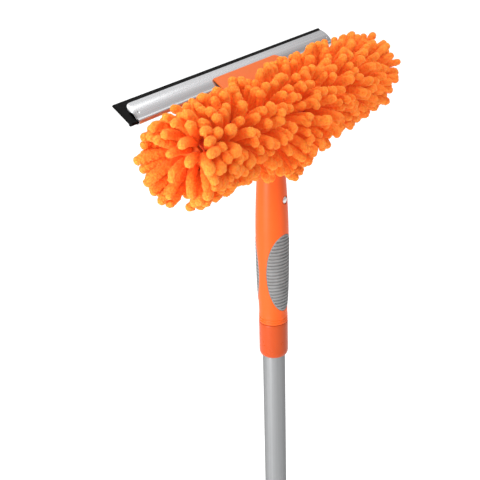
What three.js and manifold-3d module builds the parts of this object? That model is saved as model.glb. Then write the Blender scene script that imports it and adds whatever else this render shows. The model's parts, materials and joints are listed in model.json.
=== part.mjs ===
// A two-in-one window washer: a chenille mop roll and a rubber squeegee on one head, a short handle with
// soft grips, and a two-stage telescopic pole. Millimetres, +Z up along the pole, origin at the pole's foot.
// X runs along the head. The mop faces -Y and the squeegee lip leans back towards +Y.
import * as THREE from 'three';
import { mergeVertices } from 'three/addons/utils/BufferGeometryUtils.js';
import Module from 'manifold-3d';

const wasm = await Module();
wasm.setup();

// ---------------------------------------------------------------- driving dimensions
const GAP = 0.3; // between pieces that meet
const SEAM_Z = 580; // the line between handle and locking collar, above the pole's foot
const ROUND = 36; // facets round the visible turned pieces
const ROUND_INSIDE = 24; // facets round the hidden ones

// heights below are counted from the seam, up the pole
const HANDLE_TOP = 160;
const SOCKET_BOTTOM = 103.7;
const SOCKET_R = 10.6;
const BORE_TOP = 88;
const BORE_R = 11.3;
const THREAD_R = 12.3;
const THREAD_LENGTH = 12.3;
const BUTTON_Z = 126.7;
const BUTTON_R = 3.4;
const BUTTON_TIP = 15.2;

const GRIP_CENTRE_Z = 54;
const GRIP_HALF_HEIGHT = 40;
const GRIP_HALF_ANGLE = THREE.MathUtils.degToRad(73.4);
const GRIP_TURN = THREE.MathUtils.degToRad(-11);
const GRIP_DEPTH = 1.8;
const GRIP_PROUD = 0.3;

const COLLAR_R = 14.15;
const COLLAR_LENGTH = 36.5;

const UPPER_TUBE_R = 11;
const LOWER_TUBE_R = 12.5;
const TUBE_WALL = 1;
const UPPER_TUBE_TOP = 75;
const UPPER_TUBE_BOTTOM = -380;
const LOWER_TUBE_TOP = -199;
const LOWER_TUBE_BOTTOM = -549;
const FERRULE_TOP = -195;
const FERRULE_R = 14;
const CAP_R = 13.9;
const LOCK_STEM_R = 4;
const LOCK_STEM_END = -411;
const LOCK_SLEEVE_R = 11.2;

// the head's core bar, which carries the mop sleeve
const CORE_Y = -15.5;
const CORE_Z = 211;
const CORE_R = 11;
const CORE_HALF = 150;
const CORE_WALL = 2.5;
const NECK_R = 13.2;
const SPIGOT_R = 10.3;
const SPIGOT_BOTTOM = 104;
const SPIGOT_BORE_R = 7.8;
const SPIGOT_BORE_TOP = 150;

const BACKING = 2;
const PILE_R = 42;
const PILE_HALF = 174;
const PILE_EDGE_R = 18;

// the blade frame: x along the head, y from the lip down the blade's face, z out of its underside
const LIP_Y = 37.9;
const LIP_Z = 252.3;
const BLADE_RISE = THREE.MathUtils.degToRad(38.8);
const RUBBER_LEFT = -173.5;
const RUBBER_RIGHT = 172;
const CHANNEL_LEFT = -165;
const CHANNEL_RIGHT = 171.3;
const CHANNEL_THICK = 3.6;
const CHANNEL_SHEET = 0.7;
const CHANNEL_MOUTH = 3.8;
const SPINE_S = 20.5;
const SPINE_R = 2.6;
const CLAMP_LEFT = -50;
const CLAMP_RIGHT = 64;
const CLAMP_EDGE = 12;
const CLAMP_BACK = 36;
const COVER_TOP = -2.8;
const JAW_BOTTOM = 7.5;
const CLAMP_SCREW_S = 30;
const CLAMP_SCREW_X = [-36, 7, 50];

// ---------------------------------------------------------------- materials
const plastic = (color, roughness) => new THREE.MeshStandardMaterial({ color, roughness, metalness: 0 });
const metal = (color, roughness) => new THREE.MeshStandardMaterial({ color, roughness, metalness: 1 });
const ORANGE = 0xfb7436;
const DARK_ORANGE = 0xee6437;
const materials = {
  body: () => plastic(ORANGE, 0.38),
  frame: () => plastic(0xf9793f, 0.42),
  collar: () => plastic(DARK_ORANGE, 0.4),
  grip: () => plastic(0x929292, 0.75),
  nylon: () => plastic(0xe9e7df, 0.5),
  rubber: () => plastic(0x161616, 0.6),
  fabric: () => plastic(0xd9571c, 0.95),
  chenille: () => plastic(0xff7828, 0.95),
  aluminium: () => metal(0xc9cbcd, 0.32),
  tube: () => metal(0xb9babc, 0.35),
  steel: () => metal(0xd0d0d0, 0.25),
};

// ---------------------------------------------------------------- solids
function solid(geometry) {
  const bare = geometry.clone();
  bare.deleteAttribute('normal');
  bare.deleteAttribute('uv');
  const merged = mergeVertices(bare, 1e-4);
  return new wasm.Manifold(new wasm.Mesh({
    numProp: 3,
    vertProperties: new Float32Array(merged.attributes.position.array),
    triVerts: new Uint32Array(merged.index.array),
  }));
}

function geometryOf(manifold) {
  const mesh = manifold.getMesh();
  const geometry = new THREE.BufferGeometry();
  geometry.setAttribute('position', new THREE.BufferAttribute(mesh.vertProperties, 3));
  geometry.setIndex(new THREE.BufferAttribute(mesh.triVerts, 1));
  geometry.computeVertexNormals();
  return geometry;
}

const join = (...parts) => parts.map(solid).reduce((all, next) => all.add(next));
const cut = (whole, ...tools) => tools.map(solid).reduce((left, tool) => left.subtract(tool), whole);

// Turns an outline of [radius, height] points round Z. The outline runs up the outside and down the inside.
function turned(outline, facets = ROUND) {
  const points = outline.map(([radius, height]) => new THREE.Vector2(radius, height));
  return new THREE.LatheGeometry(points, facets).rotateX(Math.PI / 2);
}

function cylinder(radius, bottom, top, facets = ROUND_INSIDE) {
  return turned([[0, bottom], [radius, bottom], [radius, top], [0, top]], facets);
}

// A turned ring from an inner to an outer radius.
function ring(inner, outer, bottom, top, facets = ROUND_INSIDE) {
  return turned([[inner, bottom], [outer, bottom], [outer, top], [inner, top], [inner, bottom]], facets);
}

const lyingAlongX = (geometry) => geometry.rotateY(Math.PI / 2);

// Extrudes an outline drawn in (y, z) along X.
function extrudedAlongX(shape, left, right, curveSegments = 8) {
  const geometry = new THREE.ExtrudeGeometry(shape, { depth: right - left, bevelEnabled: false, curveSegments });
  const yzToWorld = new THREE.Matrix4().set(0, 0, 1, left, 1, 0, 0, 0, 0, 1, 0, 0, 0, 0, 0, 1);
  return geometry.applyMatrix4(yzToWorld);
}

// Extrudes an outline drawn in (x, y) along Z.
function extrudedAlongZ(shape, bottom, top, curveSegments = 8) {
  const geometry = new THREE.ExtrudeGeometry(shape, { depth: top - bottom, bevelEnabled: false, curveSegments });
  return geometry.translate(0, 0, bottom);
}

function outline(points) {
  return new THREE.Shape(points.map(([a, b]) => new THREE.Vector2(a, b)));
}

function block(low, high) {
  const size = high.map((value, axis) => value - low[axis]);
  const centre = high.map((value, axis) => (value + low[axis]) / 2);
  return new THREE.BoxGeometry(...size).translate(...centre);
}

// ---------------------------------------------------------------- scene graph
const squeegee = new THREE.Group();
const seam = new THREE.Group();
seam.position.z = SEAM_Z;
squeegee.add(seam);

const blade = new THREE.Group();
blade.position.set(0, LIP_Y, LIP_Z);
blade.rotation.x = Math.PI + BLADE_RISE;
seam.add(blade);
blade.updateMatrix();

function add(group, name, body, material) {
  const mesh = new THREE.Mesh(body.isBufferGeometry ? body : geometryOf(body), material);
  mesh.name = name;
  group.add(mesh);
  return mesh;
}

const inBlade = (geometry) => geometry.applyMatrix4(blade.matrix);

// ---------------------------------------------------------------- handle
// The handle's outer radius at a height: a waist at each end and a full belly between.
const handleCurve = new THREE.SplineCurve([
  new THREE.Vector2(0, 14.1),
  new THREE.Vector2(6, 14.0),
  new THREE.Vector2(14, 13.8),
  new THREE.Vector2(39, 15.0),
  new THREE.Vector2(72, 15.6),
  new THREE.Vector2(100, 15.65),
  new THREE.Vector2(128, 14.65),
  new THREE.Vector2(HANDLE_TOP - 2, 12.9),
]);
const HANDLE_STATIONS = 15;
const handleSide = handleCurve.getPoints(HANDLE_STATIONS).filter((point) => point.x > 7);
const ringLine = (height) => [[14.05, height - 0.5], [13.7, height - 0.15], [13.7, height + 0.15], [14.05, height + 0.5]];

function makeHandleBody() {
  const shell = turned([
    [BORE_R, -THREAD_LENGTH],
    [THREAD_R, -THREAD_LENGTH],
    [THREAD_R, 0],
    [13.6, 0],
    [14.05, 0.5],
    ...ringLine(2.7),
    ...ringLine(5.3),
    ...handleSide.map((point) => [point.y, point.x]),
    [12.3, HANDLE_TOP],
    [SOCKET_R, HANDLE_TOP],
    [SOCKET_R, SOCKET_BOTTOM],
    [9.4, SOCKET_BOTTOM],
    [9.4, BORE_TOP],
    [BORE_R, BORE_TOP],
    [BORE_R, -THREAD_LENGTH],
  ]);
  const hole = cylinder(BUTTON_R + GAP, 0, 30, 20).rotateX(Math.PI / 2).translate(0, 0, BUTTON_Z);
  const recess = gripBand(-GRIP_DEPTH, 3);
  const front = recess.intersect(solid(leafWedge(GRIP_TURN)));
  const rear = recess.intersect(solid(leafWedge(Math.PI + GRIP_TURN)));
  return cut(solid(shell), hole).subtract(front).subtract(rear);
}

// A turned band that follows the handle's side between two offsets from its surface.
function gripBand(inner, outer) {
  const heights = handleSide.filter((point) => Math.abs(point.x - GRIP_CENTRE_Z) < GRIP_HALF_HEIGHT + 12);
  const outside = heights.map((point) => [point.y + outer, point.x]);
  const inside = heights.map((point) => [point.y + inner, point.x]).reverse();
  return solid(turned([...outside, ...inside, outside[0]]));
}

// A wedge with an elliptical outline wrapped round the pole's axis, facing -Y when the turn is 0.
function leafWedge(turn, shrink = 0) {
  const CORNERS = 28;
  const INNER = 10;
  const OUTER = 24;
  const at = (angle, radius, height) => {
    const around = angle + turn - Math.PI / 2;
    return [radius * Math.cos(around), radius * Math.sin(around), height];
  };
  const positions = [...at(0, INNER, GRIP_CENTRE_Z), ...at(0, OUTER, GRIP_CENTRE_Z)];
  const halfAngle = GRIP_HALF_ANGLE - shrink / 15;
  const halfHeight = GRIP_HALF_HEIGHT - shrink;
  for (let corner = 0; corner < CORNERS; corner++) {
    const t = (corner / CORNERS) * 2 * Math.PI;
    const angle = halfAngle * Math.cos(t);
    const height = GRIP_CENTRE_Z + halfHeight * Math.sin(t);
    positions.push(...at(angle, INNER, height), ...at(angle, OUTER, height));
  }
  const faces = [];
  for (let corner = 0; corner < CORNERS; corner++) {
    const a = 2 + 2 * corner;
    const b = 2 + 2 * ((corner + 1) % CORNERS);
    faces.push(0, b, a, 1, a + 1, b + 1, a, b, b + 1, a, b + 1, a + 1);
  }
  const geometry = new THREE.BufferGeometry();
  geometry.setAttribute('position', new THREE.Float32BufferAttribute(positions, 3));
  geometry.setIndex(faces);
  return geometry;
}

function makeGrip(turn) {
  return gripBand(GAP - GRIP_DEPTH, GRIP_PROUD).intersect(solid(leafWedge(turn, GAP)));
}

add(seam, 'handle_body', makeHandleBody(), materials.body());
add(seam, 'front_grip', makeGrip(GRIP_TURN), materials.grip());
add(seam, 'rear_grip', makeGrip(Math.PI + GRIP_TURN), materials.grip());

// ---------------------------------------------------------------- locking collar
function makeCollar() {
  const CORNER_R = 5.4;
  const ROUNDING_STEPS = 4;
  const corner = [];
  for (let step = 0; step <= ROUNDING_STEPS; step++) {
    const t = (step / ROUNDING_STEPS) * Math.PI / 2;
    corner.push([COLLAR_R - 2.4 * (1 - Math.sin(t)), -COLLAR_LENGTH + CORNER_R * (1 - Math.cos(t))]);
  }
  return turned([
    [BORE_R + 0.1, -COLLAR_LENGTH],
    ...corner,
    [COLLAR_R, -1],
    [COLLAR_R - 0.5, -0.4],
    [THREAD_R + 0.4, -0.4],
    [THREAD_R + 0.4, 3 - COLLAR_LENGTH],
    [BORE_R + 0.1, 3 - COLLAR_LENGTH],
    [BORE_R + 0.1, -COLLAR_LENGTH],
  ]);
}

// A split nylon ring that the collar squeezes onto the tube.
function makeCollet() {
  const SLOTS = 4;
  const bottom = 3.4 - COLLAR_LENGTH;
  let collet = solid(ring(BORE_R, THREAD_R, bottom, -THREAD_LENGTH - GAP));
  for (let slot = 0; slot < SLOTS; slot++) {
    const saw = block([8, -0.8, bottom - 1], [16, 0.8, bottom + 14]).rotateZ((slot + 0.5) * Math.PI / 2);
    collet = cut(collet, saw);
  }
  return collet;
}

add(seam, 'locking_collar', makeCollar(), materials.collar());
add(seam, 'clamp_collet', makeCollet(), materials.nylon());

// ---------------------------------------------------------------- spring button
function makeButton() {
  const stem = turned([
    [0, 4.7],
    [4.6, 4.7],
    [4.6, 5.9],
    [BUTTON_R, 5.9],
    [BUTTON_R, BUTTON_TIP - 1.6],
    [BUTTON_R - 0.5, BUTTON_TIP - 0.7],
    [BUTTON_R - 1.7, BUTTON_TIP - 0.15],
    [0, BUTTON_TIP],
  ], 24);
  return stem.rotateX(Math.PI / 2);
}

// A strip of spring steel bent like a hairpin, its legs in the (y, z) plane.
function makeButtonSpring() {
  const HALF_WIDTH = 3;
  const STRIP = 0.5;
  const BEND_Z = 16;
  const FRONT_Y = -4.4;
  const BACK_Y = 6.8;
  const FOOT_Z = -14;
  const middle = (FRONT_Y + BACK_Y) / 2;
  const radius = (BACK_Y - FRONT_Y) / 2;
  const shape = new THREE.Shape();
  shape.moveTo(FRONT_Y, FOOT_Z);
  shape.lineTo(FRONT_Y + STRIP, FOOT_Z);
  shape.lineTo(FRONT_Y + STRIP, BEND_Z);
  shape.absarc(middle, BEND_Z, radius - STRIP, Math.PI, 0, true);
  shape.lineTo(BACK_Y - STRIP, FOOT_Z);
  shape.lineTo(BACK_Y, FOOT_Z);
  shape.lineTo(BACK_Y, BEND_Z);
  shape.absarc(middle, BEND_Z, radius, 0, Math.PI, false);
  shape.closePath();
  return extrudedAlongX(shape, -HALF_WIDTH, HALF_WIDTH, 6);
}

add(seam, 'lock_button', makeButton(), materials.steel()).position.z = BUTTON_Z;
add(seam, 'button_spring', makeButtonSpring(), materials.steel()).position.z = BUTTON_Z;

// ---------------------------------------------------------------- head frame
const jawShape = outline([
  [CLAMP_EDGE - 0.6, CHANNEL_THICK + GAP],
  [17.2, CHANNEL_THICK + GAP],
  [17.2, 4.8],
  [23.6, 4.8],
  [23.6, 0],
  [CLAMP_BACK + GAP, 0],
  [CLAMP_BACK + GAP, COVER_TOP],
  [60, COVER_TOP - 1],
  [66, 2.8],
  [60, JAW_BOTTOM + 1.5],
  [40, JAW_BOTTOM],
  [CLAMP_EDGE + 0.8, JAW_BOTTOM],
  [CLAMP_EDGE - 0.6, JAW_BOTTOM - 1.4],
]);

function makeHeadFrame() {
  const neck = turned([
    [0, SPIGOT_BOTTOM],
    [SPIGOT_R - 0.6, SPIGOT_BOTTOM],
    [SPIGOT_R, SPIGOT_BOTTOM + 0.8],
    [SPIGOT_R, HANDLE_TOP + GAP],
    [NECK_R - 0.9, HANDLE_TOP + GAP],
    [NECK_R, HANDLE_TOP + 1.3],
    [NECK_R, 176],
    [11.5, 196],
    [8, 210],
    [0, 213],
  ], 32);
  const core = lyingAlongX(cylinder(CORE_R, -CORE_HALF, CORE_HALF, 32)).translate(0, CORE_Y, CORE_Z);
  const jaw = inBlade(extrudedAlongX(jawShape, CLAMP_LEFT, CLAMP_RIGHT));
  const spigotBore = cylinder(SPIGOT_BORE_R, SPIGOT_BOTTOM - 1, SPIGOT_BORE_TOP);
  const buttonHole = cylinder(BUTTON_R + GAP, 0, 20, 20).rotateX(Math.PI / 2).translate(0, 0, BUTTON_Z);
  const tools = [spigotBore, buttonHole];
  for (const side of [-1, 1]) {
    const bore = lyingAlongX(cylinder(CORE_R - CORE_WALL, 40, CORE_HALF + 1));
    tools.push(bore.rotateZ(side < 0 ? Math.PI : 0).translate(0, CORE_Y, CORE_Z));
  }
  for (const x of CLAMP_SCREW_X) {
    tools.push(inBlade(cylinder(3.7, -1, 3.8, 16).translate(x, CLAMP_SCREW_S, 0)));
    tools.push(inBlade(cylinder(1.9, 1, 9, 12).translate(x, CLAMP_SCREW_S, 0)));
    tools.push(inBlade(cylinder(3.7, 5, 9, 16).translate(x, CLAMP_SCREW_S, 0)));
  }
  // lightening pockets in the underside of the arm, with ribs between
  const POCKETS = 4;
  const RIB = 5;
  const pitch = (CLAMP_RIGHT - CLAMP_LEFT - RIB) / POCKETS;
  for (let pocket = 0; pocket < POCKETS; pocket++) {
    const left = CLAMP_LEFT + RIB + pocket * pitch;
    tools.push(inBlade(block([left, 38.5, 1.5], [left + pitch - RIB, 51, 12])));
  }
  return cut(join(neck, core, jaw), ...tools);
}

// The cover plate that pinches the channel against the jaw. One front corner is well rounded.
function makeClampCover() {
  const SMALL_CORNER = 1.2;
  const LARGE_CORNER = 10;
  const section = extrudedAlongX(outline([
    [CLAMP_EDGE, -GAP],
    [CLAMP_EDGE + 0.4, COVER_TOP + 0.5],
    [CLAMP_EDGE + 0.9, COVER_TOP],
    [CLAMP_BACK, COVER_TOP],
    [CLAMP_BACK, -GAP],
    [23.6, -GAP],
    [23.6, -1.15],
    [17.2, -1.15],
    [17.2, -GAP],
  ]), CLAMP_LEFT, CLAMP_RIGHT);
  const plan = new THREE.Shape();
  plan.moveTo(CLAMP_LEFT, CLAMP_BACK + 1);
  plan.lineTo(CLAMP_LEFT, CLAMP_EDGE + SMALL_CORNER);
  plan.absarc(CLAMP_LEFT + SMALL_CORNER, CLAMP_EDGE + SMALL_CORNER, SMALL_CORNER, Math.PI, 1.5 * Math.PI, false);
  plan.absarc(CLAMP_RIGHT - LARGE_CORNER, CLAMP_EDGE + LARGE_CORNER, LARGE_CORNER, 1.5 * Math.PI, 2 * Math.PI, false);
  plan.lineTo(CLAMP_RIGHT, CLAMP_BACK + 1);
  plan.closePath();
  const plate = solid(section).intersect(solid(extrudedAlongZ(plan, -10, 10, 8)));
  const bosses = CLAMP_SCREW_X.map((x) => cylinder(3.4, -0.6, 3.4, 16).translate(x, CLAMP_SCREW_S, 0));
  const holes = CLAMP_SCREW_X.map((x) => cylinder(1.9, -1.6, 5, 12).translate(x, CLAMP_SCREW_S, 0));
  return cut(bosses.map(solid).reduce((all, boss) => all.add(boss), plate), ...holes);
}

function makeScrew(shankR, shankLength, headR, headHeight) {
  const body = turned([
    [0, -shankLength],
    [shankR, -shankLength],
    [shankR, 0],
    [headR, 0],
    [headR, headHeight * 0.5],
    [headR * 0.7, headHeight],
    [0, headHeight],
  ], 16);
  const across = headR * 0.55;
  const slot = 0.35;
  const depth = headHeight - 0.8;
  return cut(
    solid(body),
    block([-across, -slot, depth], [across, slot, headHeight + 1]),
    block([-slot, -across, depth], [slot, across, headHeight + 1]),
  );
}

add(seam, 'head_frame', makeHeadFrame(), materials.frame());
add(blade, 'clamp_cover', makeClampCover(), materials.frame());
CLAMP_SCREW_X.forEach((x, index) => {
  const screw = add(blade, `clamp_screw_${index + 1}`, makeScrew(1.5, 6.4, 3.3, 1.9), materials.steel());
  screw.position.set(x, CLAMP_SCREW_S, 5.3);
});

for (const [side, name] of [[-1, 'left'], [1, 'right']]) {
  const plug = turned([[0, -12], [CORE_R - CORE_WALL - GAP, -12], [CORE_R - CORE_WALL - GAP, GAP], [CORE_R, GAP],
    [CORE_R, 1.4], [CORE_R - 0.8, 2.2], [0, 2.2]], ROUND_INSIDE);
  const mesh = add(seam, `core_plug_${name}`, lyingAlongX(plug), materials.frame());
  mesh.rotation.z = side < 0 ? Math.PI : 0;
  mesh.position.set(side * CORE_HALF, CORE_Y, CORE_Z);
}

// ---------------------------------------------------------------- squeegee
const channelMiddle = CHANNEL_THICK / 2;

// A folded strip: two flat sides that meet in a round spine.
function channelShape() {
  const inner = CHANNEL_THICK / 2 - CHANNEL_SHEET;
  const outer = CHANNEL_THICK / 2;
  const innerR = SPINE_R - CHANNEL_SHEET;
  const outerTurn = Math.asin(outer / SPINE_R);
  const innerTurn = Math.asin(inner / innerR);
  const shape = new THREE.Shape();
  shape.moveTo(CHANNEL_MOUTH, channelMiddle + inner);
  shape.lineTo(SPINE_S - innerR * Math.cos(innerTurn), channelMiddle + inner);
  shape.absarc(SPINE_S, channelMiddle, innerR, Math.PI - innerTurn, innerTurn - Math.PI, true);
  shape.lineTo(CHANNEL_MOUTH, channelMiddle - inner);
  shape.lineTo(CHANNEL_MOUTH, channelMiddle - outer);
  shape.lineTo(SPINE_S - SPINE_R * Math.cos(outerTurn), channelMiddle - outer);
  shape.absarc(SPINE_S, channelMiddle, SPINE_R, outerTurn - Math.PI, Math.PI - outerTurn, false);
  shape.lineTo(CHANNEL_MOUTH, channelMiddle + outer);
  shape.closePath();
  return shape;
}

function makeChannel() {
  const LEFT_CORNER = 7;
  const RIGHT_CORNER = 1.5;
  const PIT_S = 14.6; // punch marks that hold the rubber
  const channel = extrudedAlongX(channelShape(), CHANNEL_LEFT, CHANNEL_RIGHT, 10);
  const plan = new THREE.Shape();
  plan.moveTo(CHANNEL_LEFT - 1, 30);
  plan.lineTo(CHANNEL_LEFT - 1, SPINE_S + SPINE_R);
  plan.lineTo(CHANNEL_LEFT, SPINE_S - SPINE_R);
  plan.lineTo(CHANNEL_LEFT, CHANNEL_MOUTH + LEFT_CORNER);
  plan.absarc(CHANNEL_LEFT + LEFT_CORNER, CHANNEL_MOUTH + LEFT_CORNER, LEFT_CORNER, Math.PI, 1.5 * Math.PI, false);
  plan.absarc(CHANNEL_RIGHT - RIGHT_CORNER, CHANNEL_MOUTH + RIGHT_CORNER, RIGHT_CORNER, 1.5 * Math.PI, 2 * Math.PI, false);
  plan.lineTo(CHANNEL_RIGHT, 30);
  plan.closePath();
  const pits = [CHANNEL_LEFT + 6.5, CHANNEL_RIGHT - 6.5].map((x) => {
    const pit = turned([[0, -0.45], [0.5, -0.35], [1.1, 0.1], [0, 0.1]], 12);
    return pit.rotateX(Math.PI).translate(x, PIT_S, -0.05);
  });
  const trimmed = solid(channel).intersect(solid(extrudedAlongZ(plan, -10, 10, 8)));
  return cut(trimmed, ...pits);
}

// A flat strip with a square lip and a round bead that sits in the channel's spine.
function rubberShape() {
  const half = 0.8;
  const beadR = 1.6;
  const turn = Math.asin(half / beadR);
  const shape = new THREE.Shape();
  shape.moveTo(0, channelMiddle - half);
  shape.lineTo(SPINE_S - beadR * Math.cos(turn), channelMiddle - half);
  shape.absarc(SPINE_S, channelMiddle, beadR, turn - Math.PI, Math.PI - turn, false);
  shape.lineTo(0, channelMiddle + half);
  shape.closePath();
  return shape;
}

add(blade, 'squeegee_channel', makeChannel(), materials.aluminium());
add(blade, 'rubber_blade', extrudedAlongX(rubberShape(), RUBBER_LEFT, RUBBER_RIGHT, 10), materials.rubber());

// ---------------------------------------------------------------- mop
const armSlot = () => inBlade(block(
  [CLAMP_LEFT - 0.8, 5, COVER_TOP - 1.6],
  [CLAMP_RIGHT + 0.8, 68, JAW_BOTTOM + 2.4],
));
const neckSlot = () => cylinder(NECK_R + 0.5, HANDLE_TOP - 10, CORE_Z + 8);

function makeBacking() {
  const inner = CORE_R + GAP;
  const sleeve = lyingAlongX(ring(inner, inner + BACKING, -CORE_HALF, CORE_HALF, 32)).translate(0, CORE_Y, CORE_Z);
  return cut(solid(sleeve), armSlot(), neckSlot());
}

const pileBore = CORE_R + BACKING + 2 * GAP;

// One end of the pile: a round-edged roll with a blind hole for the wrapped core.
function makePileEnd(start) {
  const EDGE_STEPS = 4;
  const edge = [];
  for (let step = 0; step <= EDGE_STEPS; step++) {
    const t = (step / EDGE_STEPS) * Math.PI / 2;
    edge.push([PILE_R - PILE_EDGE_R * (1 - Math.cos(t)), PILE_HALF - PILE_EDGE_R * (1 - Math.sin(t))]);
  }
  const floor = CORE_HALF + 2.8;
  return lyingAlongX(turned([
    [pileBore, start],
    [PILE_R, start],
    ...edge,
    [0, PILE_HALF],
    [0, floor],
    [pileBore, floor],
    [pileBore, start],
  ], 30));
}

function makePileMiddle(left, right) {
  const roll = lyingAlongX(ring(pileBore, PILE_R, left, right, 30)).translate(0, CORE_Y, CORE_Z);
  return cut(solid(roll), armSlot(), neckSlot());
}

const middleLeft = CLAMP_LEFT - 0.7;
const middleRight = CLAMP_RIGHT + 0.7;
add(seam, 'mop_backing', makeBacking(), materials.fabric());
add(seam, 'mop_pile_middle', makePileMiddle(middleLeft, middleRight), materials.chenille());
const leftPile = add(seam, 'mop_pile_left', makePileEnd(GAP - middleLeft), materials.chenille());
leftPile.rotation.z = Math.PI;
const rightPile = add(seam, 'mop_pile_right', makePileEnd(GAP + middleRight), materials.chenille());
leftPile.position.set(0, CORE_Y, CORE_Z);
rightPile.position.set(0, CORE_Y, CORE_Z);

// ---------------------------------------------------------------- upper pole
const upperInner = UPPER_TUBE_R - TUBE_WALL;
const upperTube = ring(upperInner, UPPER_TUBE_R, UPPER_TUBE_BOTTOM, UPPER_TUBE_TOP, ROUND);
add(seam, 'upper_tube', upperTube, materials.tube());

const topPlug = turned([[0, -12], [upperInner - GAP, -12], [upperInner - GAP, GAP], [UPPER_TUBE_R - 0.2, GAP],
  [UPPER_TUBE_R - 0.2, 2.2], [UPPER_TUBE_R - 1, 3], [0, 3]], ROUND_INSIDE);
add(seam, 'upper_tube_plug', topPlug, materials.nylon()).position.z = UPPER_TUBE_TOP;

// The twist lock in the lower end of the upper tube: a plug with a stem, a split sleeve that grips the
// lower tube, and the washer and screw that keep the sleeve on.
function makeLockPlug() {
  const stemLength = UPPER_TUBE_BOTTOM - LOCK_STEM_END;
  const body = turned([
    [0, -stemLength],
    [LOCK_STEM_R, -stemLength],
    [LOCK_STEM_R, -3],
    [UPPER_TUBE_R - 0.1, -3],
    [UPPER_TUBE_R - 0.1, -GAP],
    [upperInner - GAP, -GAP],
    [upperInner - GAP, 25],
    [0, 25],
  ], ROUND_INSIDE);
  return cut(solid(body), cylinder(1.8, -stemLength - 1, 14 - stemLength, 16));
}

function makeLockSleeve() {
  const sleeve = ring(LOCK_STEM_R + 0.35, LOCK_SLEEVE_R, LOCK_STEM_END + 0.6, UPPER_TUBE_BOTTOM - 3.5);
  return cut(solid(sleeve), block([0, -0.8, LOCK_STEM_END - 1], [14, 0.8, UPPER_TUBE_BOTTOM]));
}

add(seam, 'lock_plug', makeLockPlug(), materials.nylon()).position.z = UPPER_TUBE_BOTTOM;
add(seam, 'lock_sleeve', makeLockSleeve(), materials.nylon());
add(seam, 'lock_washer', ring(1.9, 8, LOCK_STEM_END - 1.8, LOCK_STEM_END - GAP), materials.steel());
const lockScrew = add(seam, 'lock_screw', makeScrew(1.5, 12, 3.5, 2.4), materials.steel());
lockScrew.rotation.x = Math.PI;
lockScrew.position.z = LOCK_STEM_END - 2.1;

// ---------------------------------------------------------------- lower pole
const lowerTube = ring(LOWER_TUBE_R - TUBE_WALL, LOWER_TUBE_R, LOWER_TUBE_BOTTOM, LOWER_TUBE_TOP, ROUND);
add(seam, 'lower_tube', lowerTube, materials.tube());

function makeFerrule() {
  const bottom = FERRULE_TOP - 37;
  return turned([
    [LOWER_TUBE_R + GAP, bottom],
    [FERRULE_R - 0.6, bottom],
    [FERRULE_R, bottom + 0.8],
    [FERRULE_R, FERRULE_TOP - 4],
    [FERRULE_R - 0.7, FERRULE_TOP - 1.4],
    [FERRULE_R - 2, FERRULE_TOP],
    [UPPER_TUBE_R + 0.35, FERRULE_TOP],
    [UPPER_TUBE_R + 0.35, FERRULE_TOP - 3.6],
    [LOWER_TUBE_R + GAP, FERRULE_TOP - 3.6],
    [LOWER_TUBE_R + GAP, bottom],
  ]);
}

// The foot: a moulded cap over the tube's end, flat underneath, with a slot to hang it by.
function makeEndCap() {
  const HANG_Z = 15 - SEAM_Z;
  const HANG_R = 4;
  const HANG_STRAIGHT = 3;
  const body = turned([
    [0, -SEAM_Z],
    [9, -SEAM_Z],
    [12, 1.4 - SEAM_Z],
    [13.4, 4.5 - SEAM_Z],
    [CAP_R, 9 - SEAM_Z],
    [CAP_R, 62 - SEAM_Z],
    [CAP_R - 0.6, 63 - SEAM_Z],
    [LOWER_TUBE_R + GAP, 63 - SEAM_Z],
    [LOWER_TUBE_R + GAP, LOWER_TUBE_BOTTOM - GAP],
    [0, LOWER_TUBE_BOTTOM - GAP],
  ]);
  const slot = new THREE.Shape();
  slot.absarc(0, HANG_STRAIGHT, HANG_R, 0, Math.PI, false);
  slot.absarc(0, -HANG_STRAIGHT, HANG_R, Math.PI, 2 * Math.PI, false);
  slot.closePath();
  const tool = extrudedAlongZ(slot, -20, 20, 8).rotateX(Math.PI / 2).translate(0, 0, HANG_Z);
  return cut(solid(body), tool);
}

add(seam, 'guide_ferrule', makeFerrule(), materials.collar());
add(seam, 'end_cap', makeEndCap(), materials.collar());

export default squeegee;
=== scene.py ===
import json
import math

import bpy
import numpy as np
from mathutils import Matrix, Vector


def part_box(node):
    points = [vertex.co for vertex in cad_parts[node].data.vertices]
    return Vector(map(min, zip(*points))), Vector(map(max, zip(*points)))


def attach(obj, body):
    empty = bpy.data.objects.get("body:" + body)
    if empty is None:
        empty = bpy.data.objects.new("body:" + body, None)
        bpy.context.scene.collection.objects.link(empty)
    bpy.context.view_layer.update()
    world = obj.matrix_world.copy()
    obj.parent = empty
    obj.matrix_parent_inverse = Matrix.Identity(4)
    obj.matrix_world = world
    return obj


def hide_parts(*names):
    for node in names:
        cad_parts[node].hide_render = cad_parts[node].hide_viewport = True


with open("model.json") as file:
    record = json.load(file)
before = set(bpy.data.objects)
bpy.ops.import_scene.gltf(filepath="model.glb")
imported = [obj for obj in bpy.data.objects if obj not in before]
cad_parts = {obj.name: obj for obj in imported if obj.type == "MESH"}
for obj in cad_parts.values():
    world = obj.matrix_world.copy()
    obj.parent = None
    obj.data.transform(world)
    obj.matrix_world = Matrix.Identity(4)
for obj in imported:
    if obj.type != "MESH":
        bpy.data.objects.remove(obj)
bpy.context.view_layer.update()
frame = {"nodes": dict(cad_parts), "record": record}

MM = 0.001


def low(node):
    return np.array(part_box(node)[0])


def high(node):
    return np.array(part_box(node)[1])


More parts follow.
